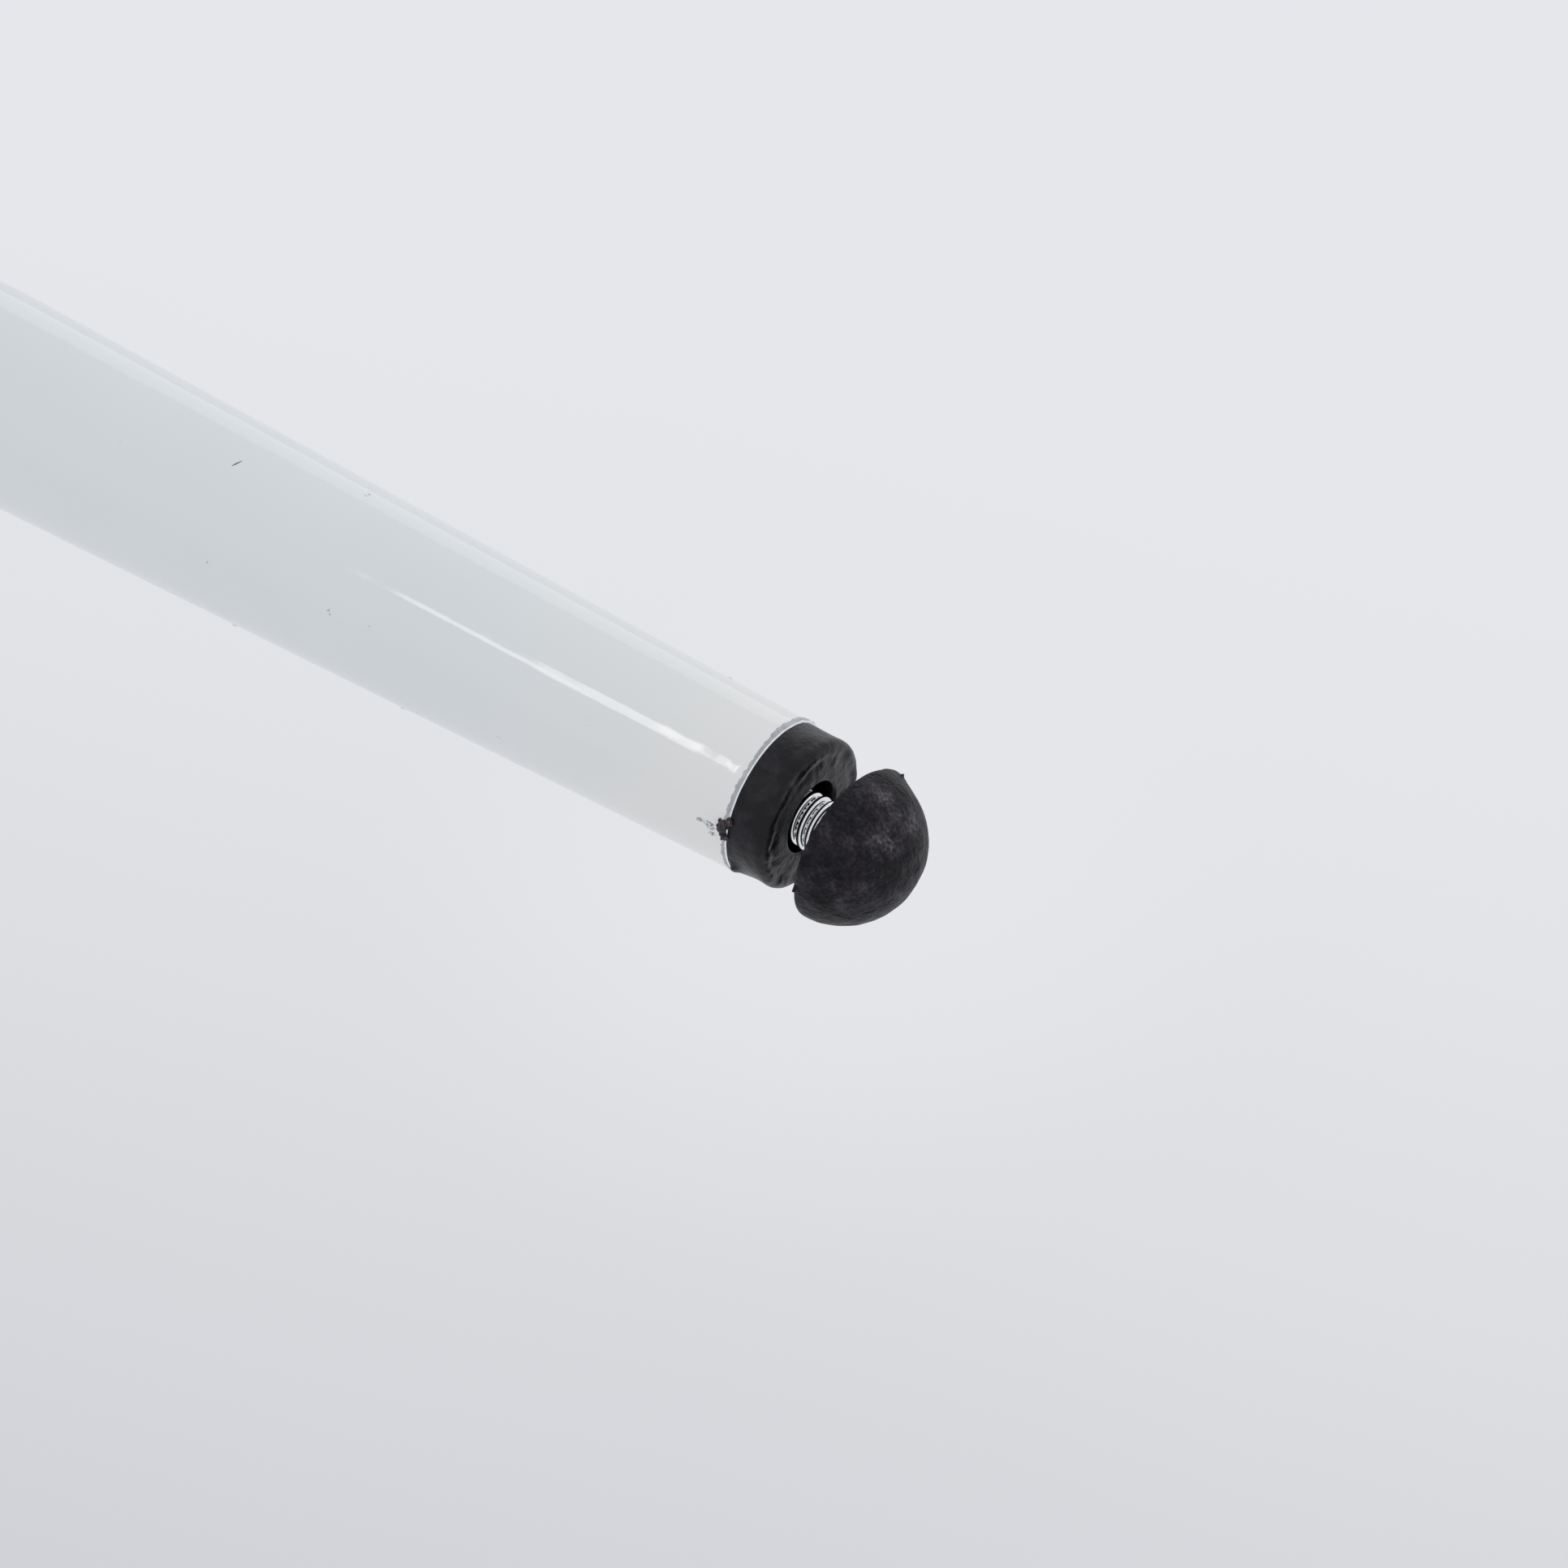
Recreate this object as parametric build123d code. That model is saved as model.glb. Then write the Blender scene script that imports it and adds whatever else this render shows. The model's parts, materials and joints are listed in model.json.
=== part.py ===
from build123d import *
import os

# A telescoping white cane, stowed: three aluminium tubes that slide into each other and lock with a twist,
# a rubber grip at the top and a screw-in dome tip at the bottom.
# Millimetres. The cane is drawn upright on Z, with the end of its lowest tube at zero and the tip below that.
# It is then laid along X on the flat of its grip, tip towards +X, with the origin under its middle.

# Dome tip and its stud
dome_radius = 5.6
dome_height = 5.5
dome_edge_round = 0.35
tip_gap = 2.95                      # bare thread between the dome and the plug
tip_lean_angle = 4.2                # the nut sits askew in the plug, so the stud and the dome lean
tip_lean_roll = 51.7                # side that they lean to, round the shaft from the grip's flat
thread_radius = 1.95                # M4, over the crests
thread_pitch = 0.7
thread_depth = 0.43
stud_head_overhang = 1.65           # past the thread, in radius
stud_head_thickness = 1.6
stud_head_cover = 1.5               # rubber between the stud's head and the back of the dome
stud_past_nut = 2.0
moulded_gap = 0.05                  # between the dome and the stud that turns with it

# Plug in the bottom end of the shaft
plug_rim_step = 0.1                 # the flange is this much smaller in radius than the tube's end
plug_flange_length = 3.0
plug_edge_round = 0.25
plug_body_length = 9.0
plug_mouth_clearance = 0.65         # round the stud's crests, so that the stud can lean
plug_wall_round_nut = 0.71          # at the nut's corners
nut_depth = 1.0                     # from the tube's end to the nut's lower face
nut_height = 3.2
nut_running_gap = 0.05              # round the stud's crests

# Tubes
tube_wall = 0.8
lower_radius = 7.0
tube_gap = 0.2                      # between a tube and the next one, all round
nose_end_radius = 5.55
nose_length = 66.0                  # the tapered end of the lower tube
nose_seat_length = 10.0             # straight bore at the nose's end, which holds the plug
nose_rim_chamfer = 0.12
upper_length = 430.0

# Guide collars on the ends of the upper and the middle tube
collar_wall = 1.3
collar_skirt = 13.0
collar_lip = 3.0
collar_chamfer = 0.5
collar_running_gap = 0.15
collar_groove_count = 3
collar_groove_width = 1.0
collar_groove_depth = 0.35

# What shows of each inner tube when the cane is stowed
lower_shows = 12.5                  # straight part of the lower tube, above the nose
middle_shows = 8.0

tube_overlap = 60.0                 # left inside the outer tube when the cane is fully out

# Twist locks
lock_plug_depth = 18.0
lock_flange = 2.0
lock_flange_step = 0.2              # the flange stays inside the tube that it slides in
lock_screw_radius = 2.45            # M5
lock_screw_hold = 16.0
lock_screw_clearance = 0.08
lock_sleeve_length = 20.0
lock_sleeve_gap = 0.5
lock_sleeve_fit = 0.15              # to the bore that it grips, when loose
lock_sleeve_wall = 1.3
lock_taper_length = 14.0
lock_taper_top_wall = 1.35          # from the screw to the taper's narrow end
lock_slot_width = 1.4
lock_cone_lift = 1.5
lock_cone_length = 9.0
lock_turns = 1.25                   # from loose to tight
lock_screw_pitch = 0.8
lock_cone_clearance = 0.05          # left between the cone and the sleeve when tight
lock_disc_overhang = 1.75           # past the screw, in radius
lock_disc_thickness = 2.0
lock_clear_above = 1.0              # free bore above a stowed lock

# Grip, its ferrule and its cap
grip_length = 218.0
grip_bottom_wall = 3.0              # over the upper tube
grip_top_wall = 5.0
grip_flat_wall = 2.4                # under the flat that the cane lies on
grip_groove_count = 9
grip_groove_spacing = 18.0
grip_groove_width = 2.0
grip_groove_depth = 0.5
ferrule_length = 9.0
ferrule_bottom_wall = 1.0
ferrule_wall = 2.2
ferrule_rim = 2.0
cap_wall = 6.0
cap_thickness = 10.0
cap_round = 3.5
cap_spigot_length = 18.0
cap_spigot_bore_radius = 5.0
eyelet_bore_radius = 2.5
eyelet_wall = 0.5
eyelet_flange_radius = 4.6
eyelet_flange_thickness = 0.8

# Reflective band on the upper tube
band_thickness = 0.15
band_length = 70.0
band_above_collar = 30.0

# Heights along the shaft, from the end of the lower tube up
plug_face_z = -plug_flange_length
dome_back_z = plug_face_z - tip_gap
nut_top_z = nut_depth + nut_height
stud_top_z = nut_top_z + stud_past_nut
nose_top_z = nose_length
middle_end_z = nose_top_z + lower_shows + collar_lip
upper_end_z = middle_end_z + collar_skirt + middle_shows + collar_lip
upper_top_z = upper_end_z + upper_length
lock_height = lock_flange + lock_sleeve_gap + lock_sleeve_length + lock_sleeve_gap + lock_disc_thickness
middle_top_z = upper_top_z - cap_spigot_length - lock_clear_above - lock_height
lower_top_z = middle_top_z - lock_plug_depth - lock_clear_above - lock_height
grip_bottom_z = upper_top_z - grip_length

# Radii that follow from the tubes and the threads
tube_step = tube_wall + tube_gap
middle_radius = lower_radius + tube_step
upper_radius = middle_radius + tube_step
grip_bottom_radius = upper_radius + grip_bottom_wall
grip_top_radius = upper_radius + grip_top_wall
grip_flat_distance = upper_radius + grip_flat_wall
cap_radius = upper_radius + cap_wall
stud_head_radius = thread_radius + stud_head_overhang
plug_mouth_radius = thread_radius + plug_mouth_clearance
nut_corner_radius = nose_end_radius - tube_wall - plug_wall_round_nut
lock_taper_top_radius = lock_screw_radius + lock_taper_top_wall
lock_disc_radius = lock_screw_radius + lock_disc_overhang


def turned(*outline):
    """Solid of revolution about Z. The outline is a closed section of (radius, height) points."""
    return revolve(Plane.XZ * make_face(Polyline(*outline, close=True)), Axis.Z)


def ring(outer, inner, low, high):
    """Plain tube about Z between two heights."""
    return turned((inner, low), (outer, low), (outer, high), (inner, high))


def edges_at(solid, height):
    """Edges of a solid that lie flat at one height."""
    return solid.edges().filter_by_position(Axis.Z, height - 0.001, height + 0.001)


def outermost(edges):
    """The widest circular edge of a list."""
    return edges.filter_by(GeomType.CIRCLE).sort_by(SortBy.RADIUS)[-1]


def leaned(solid):
    """Leans a piece of the tip about the middle of the tube's end."""
    return Rot(0, 0, tip_lean_roll) * Rot(0, tip_lean_angle, 0) * solid


def dome_tip():
    """Hard rubber dome, moulded round the stud's head."""
    sphere_radius = (dome_radius**2 + dome_height**2) / (2 * dome_height)
    pole_z = dome_back_z - dome_height
    block = Pos(0, 0, dome_back_z - dome_height / 2) * Box(4 * dome_radius, 4 * dome_radius, dome_height)
    dome = Pos(0, 0, pole_z + sphere_radius) * Sphere(sphere_radius) & block
    dome = fillet(outermost(edges_at(dome, dome_back_z)), dome_edge_round)
    head_top = dome_back_z - stud_head_cover
    head_bottom = head_top - stud_head_thickness
    dome -= ring(stud_head_radius + moulded_gap, 0, head_bottom - moulded_gap, head_top + moulded_gap)
    dome -= ring(thread_radius + moulded_gap, 0, head_top, dome_back_z + 1)
    return leaned(dome)


def tip_stud():
    """Threaded steel stud with a round head. The thread is drawn as rings at its pitch."""
    head_top = dome_back_z - stud_head_cover
    root_radius = thread_radius - thread_depth
    turns = int((stud_top_z - dome_back_z) / thread_pitch)
    outline = [(0, head_top - stud_head_thickness), (stud_head_radius, head_top - stud_head_thickness)]
    outline += [(stud_head_radius, head_top), (thread_radius, head_top), (thread_radius, dome_back_z)]
    for turn in range(turns):
        start = dome_back_z + turn * thread_pitch
        outline += [(root_radius, start + thread_pitch / 2), (thread_radius, start + thread_pitch)]
    outline += [(root_radius, stud_top_z), (0, stud_top_z)]
    return leaned(turned(*outline))


def tip_plug():
    """Plastic plug pressed into the nose, moulded round the nut. A clear hole leads to the nut."""
    flange_radius = nose_end_radius - plug_rim_step
    body_radius = nose_end_radius - tube_wall
    plug = turned(
        (0, plug_face_z),
        (flange_radius, plug_face_z),
        (flange_radius, 0),
        (body_radius, 0),
        (body_radius, plug_body_length),
        (0, plug_body_length),
    )
    plug = fillet(outermost(edges_at(plug, plug_face_z)), plug_edge_round)
    nut_middle_z = nut_depth + nut_height / 2
    plug -= ring(plug_mouth_radius, 0, plug_face_z - 1, nut_middle_z)
    plug -= leaned(ring(plug_mouth_radius, 0, nut_middle_z, plug_body_length + 1))
    return plug - leaned(nut_blank())


def nut_blank():
    """Hexagonal block that fills the plug's pocket."""
    return extrude(Pos(0, 0, nut_depth) * RegularPolygon(nut_corner_radius, 6), nut_height)


def tip_nut():
    """Nut in the plug, which the stud screws into."""
    return leaned(nut_blank() - ring(thread_radius + nut_running_gap, 0, 0, nut_top_z + 1))


def lower_tube():
    """Lower tube, with the tapered nose at its bottom end."""
    bore_radius = lower_radius - tube_wall
    return turned(
        (nose_end_radius - tube_wall, 0),
        (nose_end_radius - nose_rim_chamfer, 0),
        (nose_end_radius, nose_rim_chamfer),
        (lower_radius, nose_top_z),
        (lower_radius, lower_top_z),
        (bore_radius, lower_top_z),
        (bore_radius, nose_top_z),
        (nose_end_radius - tube_wall, nose_seat_length),
    )


def guide_collar(tube_radius, end_z):
    """Plastic ring over a tube's lower end. Its lip guides the next tube in."""
    outer = tube_radius + collar_wall
    lip_radius = tube_radius - tube_step + collar_running_gap
    low = end_z - collar_lip
    high = end_z + collar_skirt
    collar = turned(
        (lip_radius, low),
        (outer - collar_chamfer, low),
        (outer, low + collar_chamfer),
        (outer, high - collar_chamfer),
        (outer - collar_chamfer, high),
        (tube_radius, high),
        (tube_radius, end_z),
        (lip_radius, end_z),
    )
    for number in range(collar_groove_count):
        groove_z = end_z + 2 * collar_groove_width * (number + 1)
        collar -= ring(outer + 1, outer - collar_groove_depth, groove_z, groove_z + collar_groove_width)
    return collar


def lock_parts(tube_radius, top_z):
    """The four pieces of the twist lock on top of a tube: plug, screw, slotted sleeve and cone."""
    bore_radius = tube_radius + tube_step - tube_wall
    flange_top = top_z + lock_flange
    sleeve_bottom = flange_top + lock_sleeve_gap
    sleeve_top = sleeve_bottom + lock_sleeve_length
    disc_bottom = sleeve_top + lock_sleeve_gap
    taper_bottom_radius = bore_radius - lock_sleeve_fit - lock_sleeve_wall
    taper_rate = (taper_bottom_radius - lock_taper_top_radius) / lock_taper_length

    plug = turned(
        (lock_screw_radius, top_z - lock_plug_depth),
        (tube_radius - tube_wall, top_z - lock_plug_depth),
        (tube_radius - tube_wall, top_z),
        (tube_radius - lock_flange_step, top_z),
        (tube_radius - lock_flange_step, flange_top),
        (lock_screw_radius, flange_top),
    )
    screw = turned(
        (0, flange_top - lock_screw_hold),
        (lock_screw_radius, flange_top - lock_screw_hold),
        (lock_screw_radius, disc_bottom),
        (lock_disc_radius, disc_bottom),
        (lock_disc_radius, disc_bottom + lock_disc_thickness),
        (0, disc_bottom + lock_disc_thickness),
    )
    screw_room = lock_screw_radius + lock_screw_clearance
    sleeve = turned(
        (taper_bottom_radius, sleeve_bottom),
        (bore_radius - lock_sleeve_fit, sleeve_bottom),
        (bore_radius - lock_sleeve_fit, sleeve_top),
        (screw_room, sleeve_top),
        (screw_room, sleeve_bottom + lock_taper_length),
        (lock_taper_top_radius, sleeve_bottom + lock_taper_length),
    )
    slot = Box(lock_slot_width, 4 * bore_radius, lock_taper_length)
    slot = Pos(0, 0, sleeve_bottom + lock_taper_length / 2) * slot
    sleeve -= slot
    sleeve -= Rot(0, 0, 90) * slot

    cone_bottom = sleeve_bottom + lock_cone_lift
    cone_gap = taper_rate * lock_turns * lock_screw_pitch + lock_cone_clearance
    cone_wide = taper_bottom_radius - taper_rate * lock_cone_lift - cone_gap
    cone = turned(
        (screw_room, cone_bottom),
        (cone_wide, cone_bottom),
        (cone_wide - taper_rate * lock_cone_length, cone_bottom + lock_cone_length),
        (screw_room, cone_bottom + lock_cone_length),
    )
    return {"plug": plug, "screw": screw, "sleeve": sleeve, "cone": cone}


def flattened(solid):
    """Cuts the flat along a piece of the grip. The index finger lies on it in use."""
    side = 4 * cap_radius
    length = 4 * grip_length
    return solid - Pos(-grip_flat_distance - side / 2, 0, upper_top_z) * Box(side, side, length)


def grip():
    """Rubber grip: a slow taper with a flat for the index finger and rings round it."""
    body = turned(
        (upper_radius, grip_bottom_z),
        (grip_bottom_radius, grip_bottom_z),
        (grip_top_radius, upper_top_z),
        (upper_radius, upper_top_z),
    )
    taper_rate = (grip_top_radius - grip_bottom_radius) / grip_length
    first_z = grip_bottom_z + grip_groove_spacing
    for number in range(grip_groove_count):
        low = first_z + number * grip_groove_spacing
        floor_radius = grip_bottom_radius + taper_rate * (low - grip_bottom_z) - grip_groove_depth
        body -= ring(2 * grip_top_radius, floor_radius, low, low + grip_groove_width)
    return flattened(body)


def grip_ferrule():
    """Plastic ring that closes the grip's lower end."""
    low = grip_bottom_z - ferrule_length
    return turned(
        (upper_radius, low),
        (upper_radius + ferrule_bottom_wall, low),
        (upper_radius + ferrule_wall, grip_bottom_z - ferrule_rim),
        (upper_radius + ferrule_wall, grip_bottom_z),
        (upper_radius, grip_bottom_z),
    )


def grip_cap():
    """Rounded cap on the grip, with a hollow spigot in the upper tube and a hole for the eyelet."""
    top_z = upper_top_z + cap_thickness
    spigot_radius = upper_radius - tube_wall
    eyelet_room = eyelet_bore_radius + eyelet_wall
    cap = turned(
        (cap_spigot_bore_radius, upper_top_z - cap_spigot_length),
        (spigot_radius, upper_top_z - cap_spigot_length),
        (spigot_radius, upper_top_z),
        (cap_radius, upper_top_z),
        (cap_radius, top_z),
        (eyelet_room, top_z),
        (eyelet_room, upper_top_z),
        (cap_spigot_bore_radius, upper_top_z),
    )
    return flattened(fillet(outermost(edges_at(cap, top_z)), cap_round))


def cord_eyelet():
    """Metal eyelet through the cap, for a wrist cord."""
    top_z = upper_top_z + cap_thickness
    outer = eyelet_bore_radius + eyelet_wall
    return turned(
        (eyelet_bore_radius, upper_top_z),
        (outer, upper_top_z),
        (outer, top_z),
        (eyelet_flange_radius, top_z),
        (eyelet_flange_radius, top_z + eyelet_flange_thickness),
        (eyelet_bore_radius, top_z + eyelet_flange_thickness),
    )


def reflective_band():
    """Tape round the upper tube."""
    low = upper_end_z + collar_skirt + band_above_collar
    return ring(upper_radius + band_thickness, upper_radius, low, low + band_length)


def all_nodes():
    """Every named piece of the cane."""
    nodes = {
        "dome_tip": dome_tip(),
        "tip_stud": tip_stud(),
        "tip_plug": tip_plug(),
        "tip_nut": tip_nut(),
        "lower_tube": lower_tube(),
        "middle_tube": ring(middle_radius, middle_radius - tube_wall, middle_end_z, middle_top_z),
        "middle_guide_collar": guide_collar(middle_radius, middle_end_z),
        "upper_tube": ring(upper_radius, upper_radius - tube_wall, upper_end_z, upper_top_z),
        "upper_guide_collar": guide_collar(upper_radius, upper_end_z),
        "reflective_band": reflective_band(),
        "grip": grip(),
        "grip_ferrule": grip_ferrule(),
        "grip_cap": grip_cap(),
        "cord_eyelet": cord_eyelet(),
    }
    for section, radius, top_z in (("lower", lower_radius, lower_top_z), ("middle", middle_radius, middle_top_z)):
        for piece, solid in lock_parts(radius, top_z).items():
            nodes[f"{section}_lock_{piece}"] = solid
    return nodes


nodes = all_nodes()
tip_x = (Rot(0, -90, 0) * nodes["dome_tip"]).bounding_box().max.X
grip_end_x = -(upper_top_z + cap_thickness + eyelet_flange_thickness)
laid_down = Pos(-(tip_x + grip_end_x) / 2, 0, grip_flat_distance) * Rot(0, -90, 0)

os.makedirs("parts", exist_ok=True)
for name, solid in nodes.items():
    export_step(laid_down * solid, f"parts/{name}.step")

print("stowed length", tip_x - grip_end_x)
print("end of the lower tube, along X", -(tip_x + grip_end_x) / 2)
print("middle tube slides out", middle_top_z - upper_end_z - tube_overlap)
print("lower tube slides out", lower_top_z - middle_end_z - tube_overlap)
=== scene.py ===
import json
import math
import random

import bmesh
import bpy
from mathutils import Matrix, Vector, noise


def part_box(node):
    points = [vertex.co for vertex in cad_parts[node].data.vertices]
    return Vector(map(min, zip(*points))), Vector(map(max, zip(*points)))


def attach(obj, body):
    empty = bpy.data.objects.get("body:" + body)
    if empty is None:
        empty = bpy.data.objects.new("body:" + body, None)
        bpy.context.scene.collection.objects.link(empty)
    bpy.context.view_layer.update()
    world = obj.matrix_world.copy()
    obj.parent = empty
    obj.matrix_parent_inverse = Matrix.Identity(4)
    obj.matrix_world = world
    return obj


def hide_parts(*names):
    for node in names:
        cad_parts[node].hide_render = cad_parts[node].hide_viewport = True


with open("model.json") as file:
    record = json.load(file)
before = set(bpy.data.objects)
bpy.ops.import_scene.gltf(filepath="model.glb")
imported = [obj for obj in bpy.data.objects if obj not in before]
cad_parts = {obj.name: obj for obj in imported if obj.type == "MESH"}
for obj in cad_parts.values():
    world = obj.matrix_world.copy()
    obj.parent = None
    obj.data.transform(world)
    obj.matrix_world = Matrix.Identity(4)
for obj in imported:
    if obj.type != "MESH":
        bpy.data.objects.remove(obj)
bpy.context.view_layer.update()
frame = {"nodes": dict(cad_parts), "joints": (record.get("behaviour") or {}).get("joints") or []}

# White cane, stowed. Each piece is made round its own axis, with x in millimetres from the lowest tube's
# end, plus towards the tip, and is then put where the CAD has it.
mm = 0.001
nodes = frame["nodes"]
tubeLow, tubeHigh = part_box("lower_tube")
tubeEnd = Vector((tubeHigh.x, 0, (tubeLow.z + tubeHigh.z) / 2))
onShaft = Matrix.Translation(tubeEnd)
tipTurn = next(joint for joint in frame["joints"] if joint["name"] == "tip_turn")
tipLean = Vector((1, 0, 0)).rotation_difference(Vector(tipTurn["axis"]))
onTip = Matrix.Translation(tipTurn["pos_m"]) @ tipLean.to_matrix().to_4x4()
print("frame loaded:", len(nodes), "nodes")


def spanOf(node):
    low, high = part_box(node)
    return (low.x - tubeEnd.x) / mm, (high.x - tubeEnd.x) / mm, (high.y - low.y) / 2 / mm


def linear(hexColour):
    parts = [int(hexColour[place:place + 2], 16) / 255 for place in (1, 3, 5)]
    return [part / 12.92 if part <= 0.04045 else ((part + 0.055) / 1.055) ** 2.4 for part in parts] + [1]


def addNode(tree, kind, inputs=None, stops=None, **settings):
    node = tree.nodes.new("ShaderNode" + kind)
    for setting, value in settings.items():
        setattr(node, setting, value)
    if stops:  # a colour ramp's stops: (place, hex)
        ramp = node.color_ramp.elements
        while len(ramp) < len(stops):
            ramp.new(1)
        for element, (place, shade) in zip(ramp, stops):
            element.position = place
            element.color = linear(shade)
    for name, value in (inputs or {}).items():
        if isinstance(name, int):
            socket = node.inputs[name]
        else:
            socket = next(s for s in node.inputs if s.enabled and s.name == name)
        if isinstance(value, bpy.types.Node):
            value = next(s for s in value.outputs if s.enabled)
        if isinstance(value, bpy.types.NodeSocket):
            tree.links.new(value, socket)
        else:
            socket.default_value = value
    return node


def startMaterial(name, finish):
    material = bpy.data.materials.new(name)
    material.use_nodes = True
    tree = material.node_tree
    shader = tree.nodes["Principled BSDF"]
    for socket, value in finish.items():
        shader.inputs[socket].default_value = value
    spot = addNode(tree, "TexCoord").outputs["Object"]
    place = addNode(tree, "VectorMath", {"Vector": spot, "Scale": 1000}, operation="SCALE")  # millimetres
    return material, tree, shader, place


def finishSurface(tree, shader, shade, stops, rough=None, bumps=()):
    # shade picks the colour, rough is (pattern, low, high), a bump is (pattern, millimetres), coarsest first
    ramp = addNode(tree, "ValToRGB", {"Fac": shade}, stops)
    tree.links.new(ramp.outputs["Color"], shader.inputs["Base Color"])
    if rough:
        level = addNode(tree, "MapRange", {"Value": rough[0], "To Min": rough[1], "To Max": rough[2]})
        tree.links.new(level.outputs["Result"], shader.inputs["Roughness"])
    normal = None
    for pattern, height in bumps:
        inputs = {"Height": pattern, "Strength": 1, "Distance": height * mm}
        if normal:
            inputs["Normal"] = normal
        normal = addNode(tree, "Bump", inputs)
    if normal:
        tree.links.new(normal.outputs["Normal"], shader.inputs["Normal"])


def roundShaft(tree, place):
    # x along the shaft in millimetres, and the share of a full turn round it
    parts = addNode(tree, "SeparateXYZ", {"Vector": place})
    angle = addNode(tree, "Math", {0: parts.outputs["Z"], 1: parts.outputs["Y"]}, operation="ARCTAN2")
    turn = addNode(tree, "Math", {0: angle, 1: 1 / math.tau}, operation="MULTIPLY")
    return parts.outputs["X"], turn


def helixWave(tree, x, turn, pitch, count):
    # 0 to 1 and back, across lines that climb round the shaft
    along = addNode(tree, "Math", {0: x, 1: 1 / pitch}, operation="MULTIPLY")
    climb = addNode(tree, "Math", {0: turn, 1: count, 2: along}, operation="MULTIPLY_ADD")
    return addNode(tree, "Math", {0: climb, 1: 0.5}, operation="PINGPONG")


def rounded(corners, steps=5):
    # closed outline from corners of (x, radius) or (x, radius, fillet)
    outline = []
    for place, corner in enumerate(corners):
        here = Vector(corner[:2])
        if len(corner) < 3:
            outline.append(here)
            continue
        before = (Vector(corners[place - 1][:2]) - here).normalized()
        after = (Vector(corners[(place + 1) % len(corners)][:2]) - here).normalized()
        half = before.angle(after) / 2
        centre = here + (before + after).normalized() * corner[2] / math.sin(half)
        first = here + before * corner[2] / math.tan(half) - centre
        last = here + after * corner[2] / math.tan(half) - centre
        start = math.atan2(first.y, first.x)
        sweep = (math.atan2(last.y, last.x) - start + math.pi) % math.tau - math.pi
        for step in range(steps + 1):
            angle = start + sweep * step / steps
            outline.append(centre + corner[2] * Vector((math.cos(angle), math.sin(angle))))
    return outline


def finer(outline, longest):
    # long runs are split, so that a shape function has points to move
    points = []
    for place, here in enumerate(outline):
        after = outline[(place + 1) % len(outline)]
        pieces = max(1, math.ceil((after - here).length / longest))
        points += [here.lerp(after, piece / pieces) for piece in range(pieces)]
    return points


def makePiece(name, points, faces, materials, picks=None, sharpAngle=32):
    mesh = bpy.data.meshes.new(name)
    mesh.from_pydata([Vector(point) * mm for point in points], [], faces)
    for material in materials:
        mesh.materials.append(material)
    if picks:
        mesh.polygons.foreach_set("material_index", picks)
    clean = bmesh.new()
    clean.from_mesh(mesh)
    bmesh.ops.remove_doubles(clean, verts=clean.verts, dist=1e-7)
    bmesh.ops.recalc_face_normals(clean, faces=clean.faces)
    clean.to_mesh(mesh)
    clean.free()
    mesh.shade_smooth()
    mesh.set_sharp_from_angle(angle=math.radians(sharpAngle))
    piece = bpy.data.objects.new(name, mesh)
    bpy.context.scene.collection.objects.link(piece)
    return piece


def turnPiece(name, outline, segments, materials, shape=None, pick=None, sharpAngle=32):
    # turns a closed outline about x. shape moves a point, and pick chooses a face's material.
    count = len(outline)
    points, faces, picks = [], [], []
    for turn in range(segments):
        angle = math.tau * turn / segments
        for x, radius in outline:
            if shape:
                x, radius = shape(x, radius, angle)
            points.append((x, radius * math.cos(angle), radius * math.sin(angle)))
        after = (turn + 1) % segments
        for step in range(count):
            ahead = (step + 1) % count
            here, there = turn * count, after * count
            faces.append((here + step, here + ahead, there + ahead, there + step))
            middle = (outline[step] + outline[ahead]) / 2
            picks.append(pick(middle.x, middle.y, angle) if pick else 0)
    return makePiece(name, points, faces, materials, picks, sharpAngle)


def settle(piece, place, body, slot, *replaced):
    piece.matrix_world = place
    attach(piece, body)
    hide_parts(*replaced)


def lumpy(x, radius, angle, grain, seed):
    # smooth noise from -1 to 1 over the surface, with lumps of the grain's size
    spot = Vector((x + seed, radius * math.cos(angle), radius * math.sin(angle) - seed))
    return noise.noise(spot / grain)


def nearAngle(angle, centre, width):
    # 1 at an angle round the shaft, falling to 0 away from it. Degrees.
    away = (math.degrees(angle) - centre + 180) % 360 - 180
    return math.exp(-(away / width) ** 2)


def squeezed(a, b, blendOver):
    # the smaller of two radii, with a soft corner between them
    overlap = max(blendOver - abs(a - b), 0) / blendOver
    return min(a, b) - overlap * overlap * blendOver / 4


# painted highlights on the dome, lighter patches where lamps would shine: place along its axis, radius and
# angle of the middle, size, strength
paintedSheenPatches = [(8.04, 5.16, 78, 1.2, 0.34), (10.0, 3.75, 106, 2.2, 0.42), (9.8, 3.9, 60, 1.8, 0.3)]


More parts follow.
